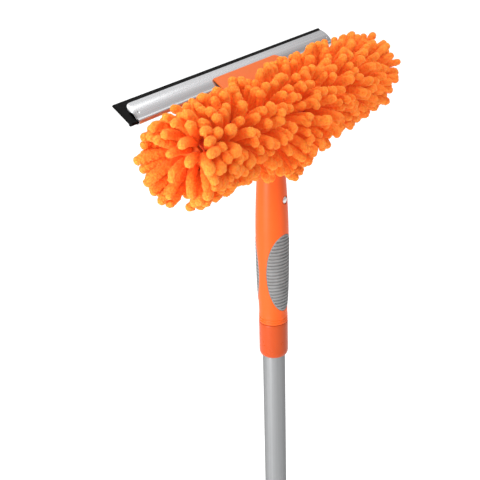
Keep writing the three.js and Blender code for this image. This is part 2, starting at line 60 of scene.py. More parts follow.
# -------------------- places, from the frame
SEAM_Z = high("locking_collar")[2] + 0.4 * MM
HANDLE_TOP = high("handle_body")[2]
UPPER_R = high("upper_tube")[0]
LOWER_R = high("lower_tube")[0]
COLLAR_R = high("locking_collar")[0]
BUTTON_Z = (low("lock_button")[2] + high("lock_button")[2]) / 2
BUTTON_R = 3.4 * MM
MOP_CENTRE = (low("mop_pile_left") + high("mop_pile_left")) / 2
MOP_END = high("mop_pile_right")[0]
SLEEVE_R = (high("mop_backing")[2] - low("mop_backing")[2]) / 2
SLEEVE_END = high("mop_backing")[0]
CLAMP_LEFT, CLAMP_RIGHT = low("clamp_cover")[0], high("clamp_cover")[0]
NECK_R = 13.2 * MM
# takes what is turned round the pole's axis to the roll's axis
TO_ROLL = Matrix.Translation((0, MOP_CENTRE[1], MOP_CENTRE[2])) @ Matrix.Rotation(math.pi / 2, 4, "Y")

# the blade's own axes: x along the head, s from the lip down the face, n out of the underside
BLADE_RISE = math.radians(38.8)
LIP = np.array([0, 37.9 * MM, SEAM_Z + 252.3 * MM])
S_AXIS = np.array([0, -math.cos(BLADE_RISE), -math.sin(BLADE_RISE)])
N_AXIS = np.array([0, math.sin(BLADE_RISE), -math.cos(BLADE_RISE)])
CHANNEL_THICK = 3.6 * MM
CHANNEL_SHEET = 0.7 * MM
CHANNEL_MOUTH = 3.8 * MM
SPINE_S = 20.5 * MM
SPINE_R = 2.6 * MM


def stacked(x, y, z):
    """Points from their coordinates, of which some may be single numbers."""
    return np.stack(np.broadcast_arrays(x, y, z), axis=-1)


def in_blade(x, s, n):
    """Points given along the head, down the blade's face and out of its underside."""
    along = stacked(x, s, n) * [1, 0, 0]
    return LIP + along + np.multiply.outer(s, S_AXIS) + np.multiply.outer(n, N_AXIS)


# -------------------- mesh code
def linked(name, data):
    """A new object in the scene."""
    made = bpy.data.objects.new(name, data)
    bpy.context.scene.collection.objects.link(made)
    return made


def mesh_object(name, points, *face_sets):
    """An object from points and one or more arrays of faces, each with its own number of corners."""
    points = np.asarray(points, np.float32).reshape(-1, 3)
    face_sets = [np.asarray(faces, np.int32) for faces in face_sets]
    corners = np.concatenate([faces.ravel() for faces in face_sets])
    sizes = np.concatenate([np.full(len(faces), faces.shape[1]) for faces in face_sets])
    mesh = bpy.data.meshes.new(name)
    mesh.vertices.add(len(points))
    mesh.vertices.foreach_set("co", points.ravel())
    mesh.loops.add(len(corners))
    mesh.loops.foreach_set("vertex_index", corners)
    mesh.polygons.add(len(sizes))
    mesh.polygons.foreach_set("loop_start", np.concatenate([[0], np.cumsum(sizes)[:-1]]).astype(np.int32))
    mesh.update(calc_edges=True)
    mesh.validate()
    return linked(name, mesh)


def grid_faces(rows, columns, rows_close=False, columns_close=True):
    """Quads over a grid of points stored row by row."""
    row = np.arange(rows if rows_close else rows - 1)[:, None]
    column = np.arange(columns if columns_close else columns - 1)[None, :]
    next_row, next_column = (row + 1) % rows, (column + 1) % columns
    corners = [row * columns + column, row * columns + next_column,
               next_row * columns + next_column, next_row * columns + column]
    return np.stack([np.broadcast_to(c, (row.size, column.size)).ravel() for c in corners], axis=1)


def capped_faces(rows, columns):
    """Quads over rings of points, and a cap over the first ring and over the last."""
    around = np.arange(columns)
    return grid_faces(rows, columns), np.stack([around[::-1], (rows - 1) * columns + around])


def rounded(corners, steps=4, closed=True):
    """An outline from corners (a, b, radius), with an arc of that radius in place of each corner."""
    made = []
    for index, (a, b, radius) in enumerate(corners):
        here = np.array((a, b), float)
        if radius <= 0 or (not closed and index in (0, len(corners) - 1)):
            made.append(here)
            continue
        back = np.array(corners[index - 1][:2]) - here
        forward = np.array(corners[(index + 1) % len(corners)][:2]) - here
        back, forward = back / np.linalg.norm(back), forward / np.linalg.norm(forward)
        half = math.acos(np.clip(back @ forward, -1, 1)) / 2
        start, end = here + back * radius / math.tan(half), here + forward * radius / math.tan(half)
        centre = here + (back + forward) / np.linalg.norm(back + forward) * radius / math.sin(half)
        first, last = start - centre, end - centre
        turn = math.atan2(first[0] * last[1] - first[1] * last[0], first @ last)
        for step in range(steps + 1):
            c, s = math.cos(turn * step / steps), math.sin(turn * step / steps)
            made.append(centre + (first[0] * c - first[1] * s, first[0] * s + first[1] * c))
    return np.array(made)


def rectangle(a0, b0, a1, b1, radius=0.0, steps=4):
    """A rectangle's outline with rounded corners."""
    return rounded([(a0, b0, radius), (a1, b0, radius), (a1, b1, radius), (a0, b1, radius)], steps)


def lathe(name, profile, sides=128, loop=False):
    """Turns an outline of (radius, height) round the pole's axis. It runs up the outside, and down the
    inside when it closes on itself; otherwise both ends are capped flat."""
    profile = np.asarray(profile, float)
    turn = np.linspace(0, 2 * math.pi, sides, endpoint=False)
    points = np.stack([
        profile[:, :1] * np.cos(turn),
        profile[:, :1] * np.sin(turn),
        np.repeat(profile[:, 1:], sides, axis=1),
    ], axis=-1)
    if loop:
        return mesh_object(name, points, grid_faces(len(profile), sides, rows_close=True))
    return mesh_object(name, points, *capped_faces(len(profile), sides))


def drum(name, radius, bottom, top, sides=64):
    """A plain cylinder round the pole's axis."""
    return lathe(name, [(radius, bottom), (radius, top)], sides)


def prism(name, outline, ends, place):
    """A closed outline of (a, b) swept between two ends. place turns (a, b, end) into points."""
    points = np.concatenate([place(*outline.T, end) for end in ends])
    return facing_out(mesh_object(name, points, *capped_faces(2, len(outline))))


def between_skins(name, outer, inner):
    """A closed mesh between two grids of points of the same size, joined round their border."""
    rows, columns = outer.shape[:2]
    count = rows * columns
    sheet = grid_faces(rows, columns, columns_close=False)
    border = np.concatenate([
        np.arange(columns),
        np.arange(1, rows) * columns + columns - 1,
        (rows - 1) * columns + np.arange(columns - 2, -1, -1),
        np.arange(rows - 2, 0, -1) * columns,
    ])
    after = np.roll(border, -1)
    rim = np.stack([border, after, after + count, border + count], axis=1)
    points = np.concatenate([outer.reshape(-1, 3), inner.reshape(-1, 3)])
    return facing_out(mesh_object(name, points, sheet, sheet[:, ::-1] + count, rim[:, ::-1]))


def catmull_rom(p0, p1, p2, p3, t):
    """Points on the curve between p1 and p2."""
    return 0.5 * (2 * p1 + (p2 - p0) * t + (2 * p0 - 5 * p1 + 4 * p2 - p3) * t ** 2
                  + (3 * p1 - p0 - 3 * p2 + p3) * t ** 3)


def points_of(piece):
    return np.array([v.co for v in piece.data.vertices])


def set_points(piece, points):
    piece.data.vertices.foreach_set("co", points.astype(np.float32).ravel())


def facing_out(piece):
    """Turns a closed mesh's faces outwards."""
    mesh = piece.data
    mesh.calc_loop_triangles()
    points = points_of(piece)
    corners = np.array([t.vertices for t in mesh.loop_triangles])
    a, b, c = points[corners[:, 0]], points[corners[:, 1]], points[corners[:, 2]]
    if (a * np.cross(b, c)).sum() < 0:
        mesh.flip_normals()
    return piece


def settled(piece):
    """Applies a piece's modifiers to its mesh."""
    graph = bpy.context.evaluated_depsgraph_get()
    mesh = bpy.data.meshes.new_from_object(piece.evaluated_get(graph))
    piece.modifiers.clear()
    piece.data = mesh
    return piece


def bevelled(piece, width, segments=3, angle=30):
    """Rounds a piece's edges that are sharper than an angle."""
    bevel = piece.modifiers.new("edges", "BEVEL")
    bevel.width = width
    bevel.segments = segments
    bevel.limit_method = "ANGLE"
    bevel.angle_limit = math.radians(angle)
    return settled(piece)


def boolean(piece, operation, *tools):
    """Joins tools to a piece, or cuts or keeps what they share, and removes the tools."""
    for tool in tools:
        step = piece.modifiers.new("boolean", "BOOLEAN")
        step.operation = operation
        step.solver = "EXACT"
        step.object = tool
    settled(piece)
    for tool in tools:
        bpy.data.objects.remove(tool)
    return piece


def smooth(piece, angle=32):
    piece.data.shade_smooth()
    piece.data.set_sharp_from_angle(angle=math.radians(angle))
    return piece


def install(piece, body, slot, node):
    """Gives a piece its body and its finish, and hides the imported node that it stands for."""
    piece.data.materials.clear()
    piece.data.materials.append(MATERIALS[slot])
    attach(piece, body)
    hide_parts(node)
    return piece


# -------------------- materials
def srgb(red, green, blue):
    """A colour given as sRGB from 0 to 255, as the linear values that shaders take."""
    values = [c / 255 for c in (red, green, blue)]
    return (*[c / 12.92 if c <= 0.04045 else ((c + 0.055) / 1.055) ** 2.4 for c in values], 1)


def grey(value):
    return srgb(value, value, value)


def dimmed(colour, share):
    return (*[share * c for c in colour[:3]], 1)


def put(socket, value):
    """Sets a node's input to a value, or links it to another node's output."""
    if isinstance(value, bpy.types.NodeSocket):
        socket.id_data.links.new(value, socket)
    else:
        socket.default_value = value


def set_inputs(node, **values):
    """Sets a node's inputs by name, with an underscore for each space."""
    for name, value in values.items():
        put(node.inputs[name.replace("_", " ")], value)
    return node


class Surface:
    """A Principled material and short ways to wire noise into it."""

    def __init__(self, name, **inputs):
        self.material = bpy.data.materials.new(name)
        self.material.use_nodes = True
        self.nodes = self.material.node_tree.nodes
        self.shader = set_inputs(self.nodes["Principled BSDF"], **inputs)
        self.coordinates = self.add("TexCoord").outputs["Object"]
        self.bumps = {}

    def add(self, kind, **inputs):
        return set_inputs(self.nodes.new("ShaderNode" + kind), **inputs)

    def stretched(self, x, y, z):
        """Object coordinates scaled along each axis."""
        return self.add("Mapping", Vector=self.coordinates, Scale=(x, y, z)).outputs["Vector"]

    def noise(self, scale, detail=3.0, vector=None):
        vector = vector or self.coordinates
        return self.add("TexNoise", Vector=vector, Scale=scale, Detail=detail).outputs["Fac"]

    def ramp(self, value, *stops):
        """A colour ramp over (place, colour) stops."""
        node = self.add("ValToRGB", Fac=value)
        elements = node.color_ramp.elements
        elements[0].position, elements[0].color = stops[0]
        elements[1].position, elements[1].color = stops[-1]
        for place, colour in stops[1:-1]:
            elements.new(place).color = colour
        return node.outputs["Color"]

    def between(self, noise, start, end):
        """Carries the middle of a noise's range over to another range."""
        node = self.add("MapRange", Value=noise, From_Min=0.3, From_Max=0.7, To_Min=start, To_Max=end)
        return node.outputs["Result"]

    def mix(self, kind, share, first, second):
        """Blends two colours by a share."""
        node = self.add("Mix")
        node.data_type = "RGBA"
        node.blend_type = kind
        for index, value in ((0, share), (6, first), (7, second)):
            put(node.inputs[index], value)
        return node.outputs[2]

    def bump(self, height, depth):
        """Adds a bump with a depth in millimetres on top of any before it."""
        node = self.add("Bump", Height=height, Distance=depth * MM, Strength=1.0, **self.bumps)
        self.bumps = {"Normal": node.outputs["Normal"]}
        set_inputs(self.shader, **self.bumps)


def mottled(name, dark, light, mottle, gloss, grains, **inputs):
    """A finish of two tones that drift into each other, with uneven gloss and a fine grain. mottle is the
    drift's scale and detail, gloss its scale and its least and most roughness, and grains are bumps, each
    with a scale, a detail and a depth in millimetres."""
    made = Surface(name, **inputs)
    set_inputs(
        made.shader,
        Base_Color=made.ramp(made.noise(*mottle), (0.3, dark), (0.7, light)),
        Roughness=made.between(made.noise(gloss[0]), gloss[1], gloss[2]),
    )
    for scale, detail, depth in grains:
        made.bump(made.noise(scale, detail), depth)
    return made.material


def moulded_plastic(name, colour, roughness, level):
    """Satin moulded plastic, whose walls are very slightly uneven. level is the strength of its gloss."""
    return mottled(
        name, dimmed(colour, 0.96), colour, (24, 3), (120, roughness - 0.03, roughness + 0.03),
        [(1500, 3, 0.012), (40, 1, 0.008)], IOR=1.47, Specular_IOR_Level=level,
    )


def drawn_metal(name, colour, roughness, streaks, metallic, edge=1.0, level=0.5):
    """Drawn or rolled metal with fine streaks along one direction. streaks scales each axis, edge is how
    bright it turns at a glancing angle and level the strength of its gloss."""
    made = Surface(name, Metallic=metallic, Specular_Tint=(edge, edge, edge, 1), Specular_IOR_Level=level)
    lines = made.stretched(*streaks)
    set_inputs(
        made.shader,
        Base_Color=made.ramp(made.noise(1.0, 6, lines), (0.35, dimmed(colour, 0.9)), (0.65, colour)),
        Roughness=made.between(made.noise(2.0, 5, lines), roughness - 0.06, roughness + 0.06),
    )
    made.bump(made.noise(3.0, 4, lines), 0.012)
    return made.material


def backing_cloth(name):
    """A plain weave: two crossed wave patterns make the threads."""
    made = Surface(name, Roughness=0.9, Sheen_Weight=0.3, Sheen_Roughness=0.6)
    threads = []
    for direction in "XZ":
        wave = made.add("TexWave", Vector=made.coordinates, Scale=420, Distortion=0.6)
        wave.bands_direction = direction
        threads.append(wave.outputs["Color"])
    crossed = made.mix("LIGHTEN", 1.0, *threads)
    set_inputs(made.shader, Base_Color=made.ramp(crossed, (0.2, srgb(190, 66, 14)), (0.9, srgb(236, 98, 30))))
    made.bump(crossed, 0.15)
    return made.material


TONE_AND_SHADE = "tone_and_shade"  # the chenille's attribute of painted shade and light, 0 at a strand's root and 1 at its tip, with a random tint per strand


def chenille(name):
    """Plush microfibre with a faint orange glow, which is painted light that lifts the shade between the
    strands. Its orange is painted deeper towards the roots, as painted shade, and lighter towards the tips,
    as painted light."""
    # The emission is painted light: a faint glow that lifts the shade between the strands.
    made = Surface(
        name, Roughness=0.85, IOR=1.4, Sheen_Weight=0.35, Sheen_Roughness=0.45,
        Sheen_Tint=srgb(255, 170, 90), Subsurface_Weight=0.5, Subsurface_Scale=0.004,
        Subsurface_Radius=(1.0, 0.35, 0.1), Emission_Color=(1, 0.2, 0.03, 1), Emission_Strength=0.13,
    )
    tone_and_shade = made.add("Attribute")
    tone_and_shade.attribute_name = TONE_AND_SHADE
    # Painted shade deep in the pile, painted light towards the tips.
    depth = made.ramp(
        tone_and_shade.outputs["Fac"], (0.0, srgb(248, 98, 24)), (0.45, srgb(255, 121, 28)), (1.0, srgb(255, 150, 51)),
    )
    tufts = made.noise(620, 4)
    # Darker where the tufts' bump sinks: painted shade in its hollows, on top of the fibres' uneven tint.
    tuft_tint_and_shade = made.ramp(tufts, (0.36, (0.9, 0.62, 0.5, 1)), (0.5, (1, 0.92, 0.88, 1)), (0.66, (1, 1, 1, 1)))
    set_inputs(made.shader, Base_Color=made.mix("MULTIPLY", 0.9, depth, tuft_tint_and_shade))
    made.bump(tufts, 1.6)
    made.bump(made.noise(2400, 4), 0.4)
    return made.material


# by name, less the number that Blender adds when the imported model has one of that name
MATERIALS = {made.name.split(".")[0]: made for made in (
    moulded_plastic("handle_plastic", srgb(226, 88, 20), 0.4, 0.26),
    moulded_plastic("head_plastic", srgb(223, 107, 34), 0.4, 0.3),
    moulded_plastic("collar_plastic", srgb(183, 69, 19), 0.3, 0.25),
    mottled("soft_grip", grey(123), grey(136), (160, 4), (500, 0.55, 0.72), [(2300, 3, 0.05)],
            IOR=1.45, Specular_IOR_Level=0.35),
    mottled("nylon", srgb(222, 220, 212), srgb(236, 234, 227), (120, 3), (400, 0.4, 0.5),
            [(1100, 3, 0.01)], Subsurface_Weight=0.1, Subsurface_Scale=0.002),
    mottled("blade_rubber", grey(3), grey(8), (140, 5), (420, 0.42, 0.6), [(1700, 3, 0.02)],
            IOR=1.45, Specular_IOR_Level=0.06),
    mottled("bright_steel", grey(205), grey(222), (300, 3), (700, 0.3, 0.42), [(1200, 3, 0.003)],
            Metallic=0.9),
    drawn_metal("channel_aluminium", srgb(199, 200, 202), 0.2, (4, 900, 900), 0.78),
    drawn_metal("pole_metal", srgb(144, 145, 146), 0.5, (700, 700, 5), 0.6, 0.25, 0.1),
    backing_cloth("mop_cloth"),
    chenille("chenille"),
)}


# -------------------- handle
# (height above the seam, radius): a waist at each end and a full belly between
HANDLE_SIDE = [
    (0, 14.1), (6, 14.0), (14, 13.8), (39, 15.0), (72, 15.6), (100, 15.65), (128, 14.65), (158, 12.9),
]
GRIP_CENTRE = 54 * MM
GRIP_HALF_HEIGHT = 40 * MM
GRIP_HALF_ANGLE = math.radians(73.4)
GRIP_TURN = math.radians(-11)
GRIP_DEPTH = 1.8 * MM


def handle_radius(height):
    """The handle's outer radius at a height above the seam, by a Catmull-Rom curve through its side."""
    side = np.array(HANDLE_SIDE) * MM
    padded = np.concatenate([side[:1], side, side[-1:]])
    steps = np.linspace(0, 1, 24, endpoint=False)[:, None]
    pieces = [catmull_rom(*four, steps) for four in zip(padded, padded[1:], padded[2:], padded[3:])]
    curve = np.concatenate([*pieces, side[-1:]])
    return np.interp(height, curve[:, 0], curve[:, 1])


def groove(height):
    """How far the surface sinks into its two turned lines, at a height above the seam."""
    depth, half_width = 0.5 * MM, 0.5 * MM
    return sum(depth * np.exp(-((height - line) / half_width) ** 2) for line in (2.7 * MM, 5.3 * MM))


def round_pole(radius, angle, height):
    """Points at a radius from the pole's axis, an angle from its front and a height above the seam."""
    angle = angle - math.pi / 2
    return np.stack([radius * np.cos(angle), radius * np.sin(angle), SEAM_Z + height], axis=-1)


def leaf_block(turn):
    """A block with the grip's elliptical outline, from the recess's floor to outside the handle."""
    sides = 160
    corners = np.linspace(0, 2 * math.pi, sides, endpoint=False)
    rings = []
    for share, outside in ((0, 0), (0.25, 0), (0.5, 0), (0.75, 0), (1, 0), (1, 1), (0, 1)):
        angle = GRIP_HALF_ANGLE * share * np.cos(corners) + turn
        height = GRIP_CENTRE + GRIP_HALF_HEIGHT * share * np.sin(corners)
        radius = 22 * MM if outside else handle_radius(height) - GRIP_DEPTH
        rings.append(round_pole(radius, angle, height))
    points = np.concatenate([rings[0][:1], *rings[1:-1], rings[-1][:1]])
    around = np.arange(1, 1 + sides)
    after, last = np.roll(around, -1), len(points) - 1
    walls = 1 + grid_faces(len(rings) - 2, sides)
    roof = stacked(last, *(ring + last - sides - 1 for ring in (around, after)))
    return facing_out(mesh_object("leaf", points, walls, stacked(0, after, around), roof))


def round_button_axis(name, profile, sides):
    """Turns an outline of (radius, distance from the pole's axis) round the button's axis."""
    made = lathe(name, profile, sides)
    made.data.transform(Matrix.Translation((0, 0, BUTTON_Z)) @ Matrix.Rotation(math.pi / 2, 4, "X"))
    return made


def above_seam(profile):
    """An outline of (radius, height above the seam) in millimetres, in the model's own frame."""
    return np.array(profile) * MM + [0, SEAM_Z]


def make_handle():
    """A hollow shell, with a recess for each grip and a hole for the button."""
    bore, socket, thread, top = 11.3, 10.6, 12.3, (HANDLE_TOP - SEAM_Z) / MM
    heights = np.concatenate([np.arange(0.5, 8, 0.15), np.arange(8, 158, 1.5)])
    side = [((handle_radius(z * MM) - groove(z * MM)) / MM, z) for z in heights]
    body = lathe("handle_shell", above_seam([
        (bore, -12.3), (thread, -12.3), (thread, 0), (13.5, 0), (13.9, 0.12), *side,
        (12.75, top - 0.9), (12.45, top - 0.25), (12, top), (socket + 0.4, top), (socket, top - 0.4),
        (socket, 103.7), (9.4, 103.7), (9.4, 88), (bore, 88),
    ]), 160, loop=True)
    hole_r = BUTTON_R + 0.7 * MM
    hole = round_button_axis("hole", [(hole_r, 0), (hole_r, 30 * MM)], 40)
    leaves = [leaf_block(turn) for turn in (GRIP_TURN, math.pi + GRIP_TURN)]
    boolean(body, "DIFFERENCE", *leaves, hole)
    install(smooth(body, 28), "handle", "handle_plastic", "handle_body")


def make_grip(name, node, turn):
    """A soft inlay with level ribs. Its rows are level rings, so each rib runs straight to the edge."""
    rib_pitch, rib_depth = 3.35 * MM, 1.2 * MM
    edge = 0.9 * MM  # how far in the rounding of its edge reaches
    shrink = 0.15 * MM
    mean_radius = 15 * MM
    half_height, half_angle = GRIP_HALF_HEIGHT - shrink, GRIP_HALF_ANGLE - shrink / mean_radius
    rows, columns = 460, 72
    level = np.linspace(-1, 1, rows + 2)[1:-1][:, None]
    across = np.sin(np.linspace(-math.pi / 2, math.pi / 2, columns))[None, :]
    width = np.sqrt(1 - level ** 2)
    height = GRIP_CENTRE + half_height * level + 0 * across
    angle = half_angle * width * across
    side = handle_radius(height)
    inset = np.sqrt((level ** 2 + (width * across) ** 2).clip(0, 1))
    rim = (1 - inset) * half_angle * mean_radius  # about how far a point lies inside the outline
    crown = 0.35 * MM - 0.85 * MM * (1 - np.clip(rim / edge, 0, 1)) ** 2
    wave = 0.5 + 0.5 * np.cos(2 * math.pi * (height - GRIP_CENTRE) / rib_pitch)
    ribs = rib_depth * np.clip(wave * 2.6 - 1.15, 0, 1) * np.clip((rim - 0.4 * MM) / (1.1 * MM), 0, 1)
    front = round_pole(side + crown - ribs, angle + turn, height)
    back = round_pole(side - GRIP_DEPTH + 0.1 * MM, angle + turn, height)
    grip = between_skins(name, front, back)
    install(smooth(grip, 60), "handle", "soft_grip", node)


def make_collar():
    """The locking collar: a plain drum, well rounded below."""
    radius, bore = COLLAR_R / MM, 11.4
    bottom = (low("locking_collar")[2] - SEAM_Z) / MM
    quarter = np.linspace(0, math.pi / 2, 13)
    collar = lathe("collar_shell", above_seam([
        (bore, bottom + 0.4), (bore + 0.3, bottom),
        *[(radius - 2.5 * (1 - math.sin(t)), bottom + 5.6 * (1 - math.cos(t))) for t in quarter],
        *[(radius, z) for z in (-26, -18, -10, -4, -1.1)],
        (radius - 0.12, -0.7), (radius - 0.45, -0.42), (radius - 0.8, -0.4),
        (12.7, -0.4), (12.7, bottom + 3), (bore, bottom + 3),
    ]), 160, loop=True)
    install(smooth(collar), "collar", "collar_plastic", "locking_collar")


def make_button():
    """A flanged pin with a domed tip."""
    tip = -low("lock_button")[1]
    quarter = np.linspace(0, math.pi / 2, 11)
    dome = [(BUTTON_R - 3.2 * MM * (1 - math.cos(t)), tip - 1.7 * MM * (1 - math.sin(t))) for t in quarter]
    profile = [(4.6 * MM, 4.7 * MM), (4.6 * MM, 5.9 * MM), (BUTTON_R, 5.9 * MM), *dome]
    button = round_button_axis("button_pin", profile, 64)
    install(smooth(button), "button", "bright_steel", "lock_button")


# -------------------- pole
def make_tube(name, node, body, radius):
    """A thin tube with its ends' edges broken."""
    bottom, top = low(node)[2], high(node)[2]
    inner, edge = radius - 1 * MM, 0.25 * MM
    tube = lathe(name, rectangle(inner, bottom, radius, top, edge, 3), 128, loop=True)
    install(smooth(tube), body, "pole_metal", node)


def make_ferrule():
    """The guide at the lower tube's mouth, with shallow ribs to twist it by."""
    bottom, top, radius = low("guide_ferrule")[2], high("guide_ferrule")[2], high("guide_ferrule")[0]
    corners = [
        (LOWER_R + 0.25 * MM, bottom, 0), (radius, bottom, 0.9 * MM), (radius, top - 4 * MM, 3 * MM),
        (radius - 2 * MM, top, 0.7 * MM), (UPPER_R + 0.35 * MM, top, 0.3 * MM),
        (UPPER_R + 0.35 * MM, top - 3.6 * MM, 0), (LOWER_R + 0.25 * MM, top - 3.6 * MM, 0),
    ]
    ferrule = lathe("ferrule_shell", rounded(corners, 6), 144, loop=True)
    flutes = 24
    points = points_of(ferrule)
    around = np.arctan2(points[:, 1], points[:, 0])
    outside = np.hypot(points[:, 0], points[:, 1]) > radius - 0.05 * MM
    points[outside, :2] *= (1 - 0.012 * (0.5 + 0.5 * np.cos(flutes * around[outside])))[:, None]
    set_points(ferrule, points)
    install(smooth(ferrule), "lower_pole", "collar_plastic", "guide_ferrule")


def make_end_cap():
    """The foot: a cap over the tube's end with a slot to hang it by."""
    top, radius = high("end_cap")[2], high("end_cap")[0]
    floor = low("lower_tube")[2] - 0.3 * MM
    wall = LOWER_R + 0.25 * MM
    corners = [
        (9 * MM, 0, 1.2 * MM), (12.3 * MM, 1.6 * MM, 3 * MM), (radius, 9 * MM, 6 * MM),
        (radius, top, 0.5 * MM), (wall, top, 0.3 * MM), (wall, floor, 0),
    ]
    outline = rounded(corners, 6, closed=False)
    cap = lathe("end_cap_shell", np.concatenate([[[0.2 * MM, 0]], outline, [[0.2 * MM, floor]]]), 128)
    slot = rectangle(-4 * MM, 8 * MM, 4 * MM, 22 * MM, 3.99 * MM, 12)
    boolean(cap, "DIFFERENCE", prism("slot", slot, (-20 * MM, 20 * MM), lambda x, z, y: stacked(x, y, z)))
    bevelled(cap, 0.35 * MM, 2, 40)
    install(smooth(cap), "lower_pole", "collar_plastic", "end_cap")


# -------------------- head
def blade_prism(name, outline, left, right):
    """An outline of (s, n) in millimetres swept along the head."""
    return prism(name, np.array(outline) * MM, (left, right), lambda s, n, x: in_blade(x, s, n))


def blade_drum(name, radius, x, s, low_n, high_n):
    """A drum square to the blade's face."""
    turn = np.linspace(0, 2 * math.pi, 32, endpoint=False)
    outline = np.stack([x + radius * np.cos(turn), s + radius * np.sin(turn)], axis=1)
    return prism(name, outline, (low_n, high_n), in_blade)


CLAMP_EDGE = 12 * MM
CLAMP_BACK = 36 * MM
COVER_TOP = -2.8 * MM
SCREW_S = 30 * MM
SCREW_X = [(low(f"clamp_screw_{n}")[0] + high(f"clamp_screw_{n}")[0]) / 2 for n in (1, 2, 3)]


def make_head_frame():
    """One moulding: a spigot and neck, the core bar, and the arm that carries the lower clamp jaw."""
    neck = lathe("head_moulding", above_seam([
        (9.7, 104), (10.3, 104.8), (10.3, 160.3), (12.3, 160.3), (12.9, 160.6), (13.2, 161.3),
        (13.2, 176), (12.6, 184), (11.5, 196), (8, 210), (3, 213),
    ]), 96)
    arm = blade_prism("arm", [
        (11.4, 3.9), (17.2, 3.9), (17.2, 4.8), (23.6, 4.8), (23.6, 0), (36.3, 0), (36.3, -2.8),
        (60, -3.8), (66, 2.8), (60, 9), (40, 7.5), (12.8, 7.5), (11.4, 6.1),
    ], CLAMP_LEFT, CLAMP_RIGHT)
    bevelled(arm, 0.7 * MM, 3)
    core_r = high("core_plug_left")[2] - MOP_CENTRE[2]
    core = drum("core", core_r, -SLEEVE_END, SLEEVE_END, 96)
    core.data.transform(TO_ROLL)
    boolean(neck, "UNION", arm, core)
    tools = []
    pockets, rib = 4, 5 * MM
    pitch = (CLAMP_RIGHT - CLAMP_LEFT - rib) / pockets
    for pocket in range(pockets):
        left = CLAMP_LEFT + rib + pocket * pitch
        outline = rectangle(left, 38.5 * MM, left + pitch - rib, 51 * MM, 1.5 * MM, 5)
        tools.append(prism("pocket", outline, (1.5 * MM, 12 * MM), in_blade))
    for x in SCREW_X:
        tools.append(blade_drum("screw_hole", 1.9 * MM, x, SCREW_S, -1 * MM, 9 * MM))
        tools.append(blade_drum("screw_seat", 3.7 * MM, x, SCREW_S, 5 * MM, 9 * MM))
    hole_r = BUTTON_R + 0.3 * MM
    hole = round_button_axis("hole", [(hole_r, 0), (hole_r, 20 * MM)], 32)
    bore = drum("bore", 7.8 * MM, SEAM_Z + 100 * MM, SEAM_Z + 150 * MM)
    boolean(neck, "DIFFERENCE", *tools, hole, bore)
    install(smooth(neck), "handle", "head_plastic", "head_frame")


def make_clamp_cover():
    """The plate that pinches the channel. One front corner is well rounded, and its edges are softened."""
    small, large = 1.2 * MM, 10 * MM
    outline = rounded([
        (CLAMP_LEFT, CLAMP_EDGE, small), (CLAMP_RIGHT, CLAMP_EDGE, large),
        (CLAMP_RIGHT, CLAMP_BACK, 0.6 * MM), (CLAMP_LEFT, CLAMP_BACK, 0.6 * MM),
    ], 12)
    plate = prism("clamp_plate", outline, (COVER_TOP, -0.3 * MM), in_blade)
    bevelled(plate, 0.75 * MM, 4, 50)
    clear_of_strip = rectangle(11, -1.3, 23.6, 1)
    clearance = blade_prism("clearance", clear_of_strip, CLAMP_LEFT - 1 * MM, CLAMP_RIGHT + 1 * MM)
    boolean(plate, "DIFFERENCE", clearance)
    bosses = [blade_drum("boss", 3.4 * MM, x, SCREW_S, -0.6 * MM, 3.4 * MM) for x in SCREW_X]
    boolean(plate, "UNION", *bosses)
    install(smooth(plate), "handle", "head_plastic", "clamp_cover")


def make_screws():
    """Three pan-head screws with a cross recess, up into the cover's bosses."""
    profile = [
        (1.1, -1.1), (1.5, -0.3), (1.5, 5.3), (3.1, 5.3), (3.3, 5.5), (3.3, 6.1), (3.0, 6.7),
        (2.2, 7.1), (0.3, 7.2),
    ]
    for number, x in enumerate(SCREW_X, start=1):
        screw = lathe(f"screw_{number}", np.array(profile) * MM, 48)
        arms = []
        for long, short in ((1.8, 0.35), (0.35, 1.8)):
            box = rectangle(-long, -short, long, short) * MM
            arms.append(prism("recess", box, (6.1 * MM, 8 * MM), stacked))
        boolean(screw, "DIFFERENCE", *arms)
        points = points_of(screw)
        set_points(screw, in_blade(x + points[:, 0], SCREW_S + points[:, 1], points[:, 2]))
        install(smooth(facing_out(screw)), "handle", "bright_steel", f"clamp_screw_{number}")


